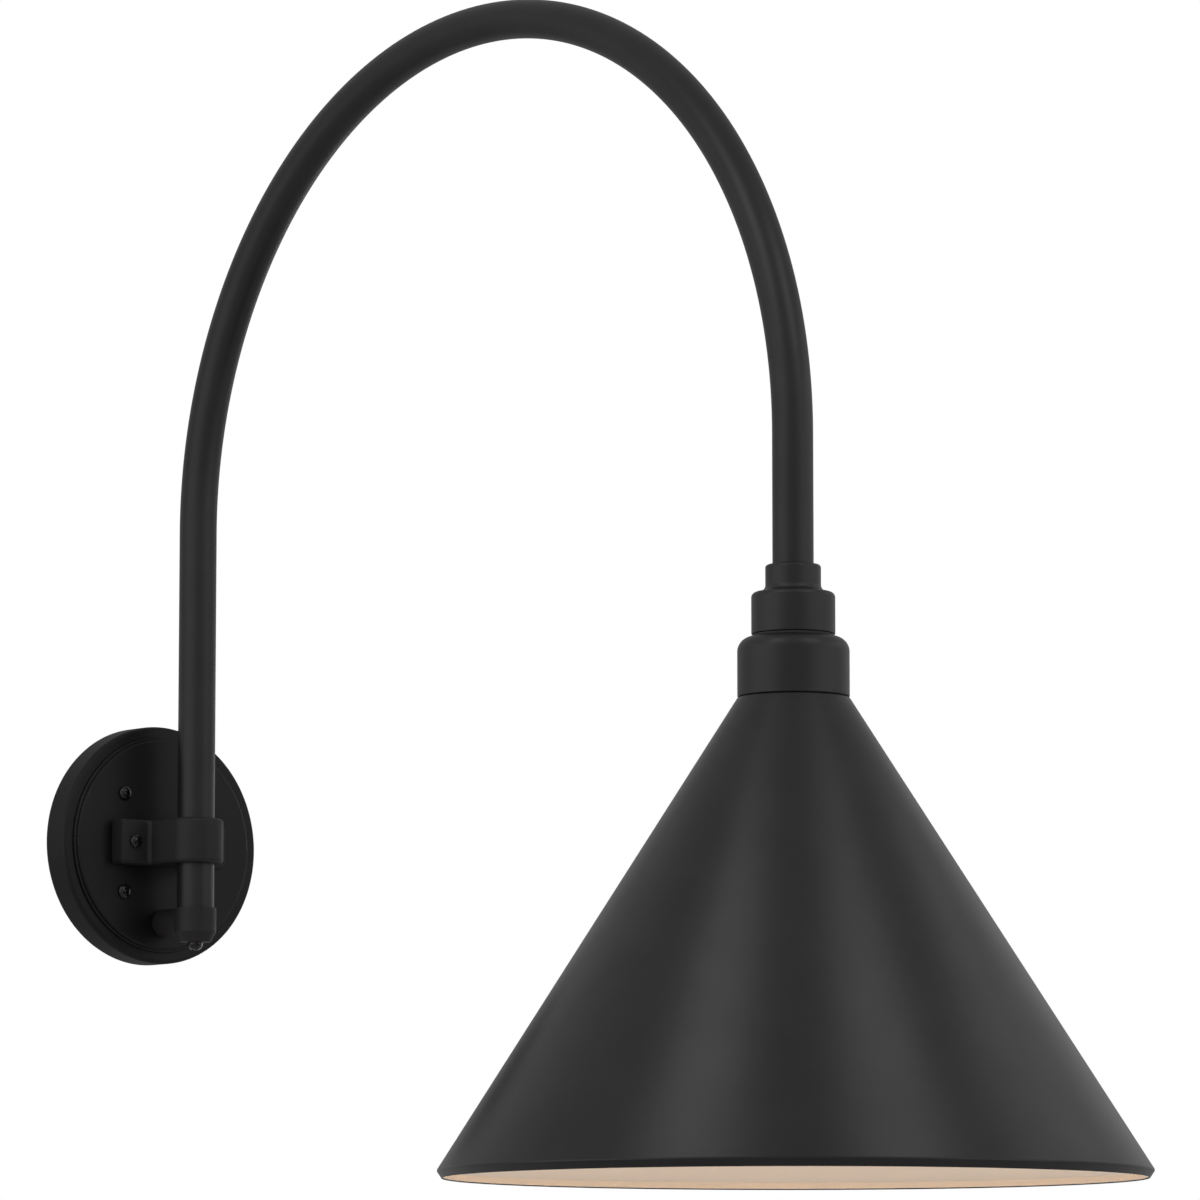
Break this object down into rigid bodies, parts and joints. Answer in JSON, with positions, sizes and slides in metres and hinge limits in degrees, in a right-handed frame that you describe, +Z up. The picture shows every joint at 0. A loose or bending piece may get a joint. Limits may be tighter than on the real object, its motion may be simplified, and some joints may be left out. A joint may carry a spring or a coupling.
{
  "type": "barn light",
  "caption": "Wall barn light: a round wall plate, a bent gooseneck tube arm and a spun cone shade over a screw-in bulb that unscrews downwards.",
  "frame": {"origin": "on the wall, at the centre of the wall plate and of its bolt circle", "axes": "+X out of the wall towards the shade, +Z up, +Y to the right as seen from in front of the wall"},
  "size_m": [0.8504, 0.4062, 0.7242],
  "materials": {
    "cast_black": "die-cast aluminium, satin black powder coat",
    "tube_black": "bent steel tube, satin black powder coat",
    "shade_black": "spun aluminium, satin black powder coat outside and white inside",
    "screw_black": "steel, gloss black lacquer",
    "screw_steel": "bright zinc-plated steel",
    "set_screw_black": "black oxide on hardened steel",
    "foam_rubber": "closed-cell foam rubber, matte",
    "nipple_steel": "yellow zinc-plated steel",
    "porcelain": "white glazed porcelain",
    "brass": "stamped brass",
    "wire_black": "black wire insulation",
    "wire_white": "white wire insulation",
    "wire_green": "green wire insulation",
    "connector_orange": "moulded plastic",
    "ground_green": "green dyed zinc-plated steel",
    "bulb_glass": "soft white coated glass, lit",
    "bulb_aluminium": "rolled aluminium",
    "bulb_black_glass": "black glass",
    "solder": "solder"
  },
  "bodies": {
    "fixture": {"wall_gasket": "foam_rubber", "wall_plate": "cast_black", "wall_screws": "screw_black", "arm_bracket": "cast_black", "bracket_screws": "screw_black", "bracket_set_screw": "set_screw_black", "gooseneck_arm": "tube_black", "wire_elbow": "cast_black", "elbow_plug": "screw_black", "elbow_lock_nut": "screw_steel", "neck_hub": "cast_black", "hub_set_screw": "set_screw_black", "hub_gasket": "foam_rubber", "centre_nipple": "nipple_steel", "socket_housing": "cast_black", "clamp_washer": "screw_steel", "nipple_nuts": "nipple_steel", "socket_strap": "screw_steel", "socket_body": "porcelain", "strap_screws": "screw_steel", "screw_shell": "brass", "centre_contact": "brass", "terminal_screws": "brass", "shade": "shade_black", "shade_screws": "screw_steel", "wire_connectors": "connector_orange", "ground_screw": "ground_green", "ground_wire": "wire_green", "live_wire": "wire_black", "neutral_wire": "wire_white"},
    "bulb_tip": {"bulb_contact": "solder"},
    "bulb": {"bulb_glass": "bulb_glass", "bulb_cap": "bulb_aluminium", "bulb_insulator": "bulb_black_glass"}
  },
  "joints": [
    {"name": "bulb_travel", "type": "slide", "parent": "fixture", "child": "bulb_tip", "axis": [0, 0, -1], "range_m": [0, 0.0182]},
    {"name": "bulb_turn", "type": "hinge", "parent": "bulb_tip", "child": "bulb", "pos_m": [0.6272, 0, 0], "axis": [0, 0, -1], "range_deg": [0, 1800]}
  ],
  "couplings": [
    {"joint": "bulb_travel", "follows": "bulb_turn", "m_per_rad": 0.0005775}
  ]
}
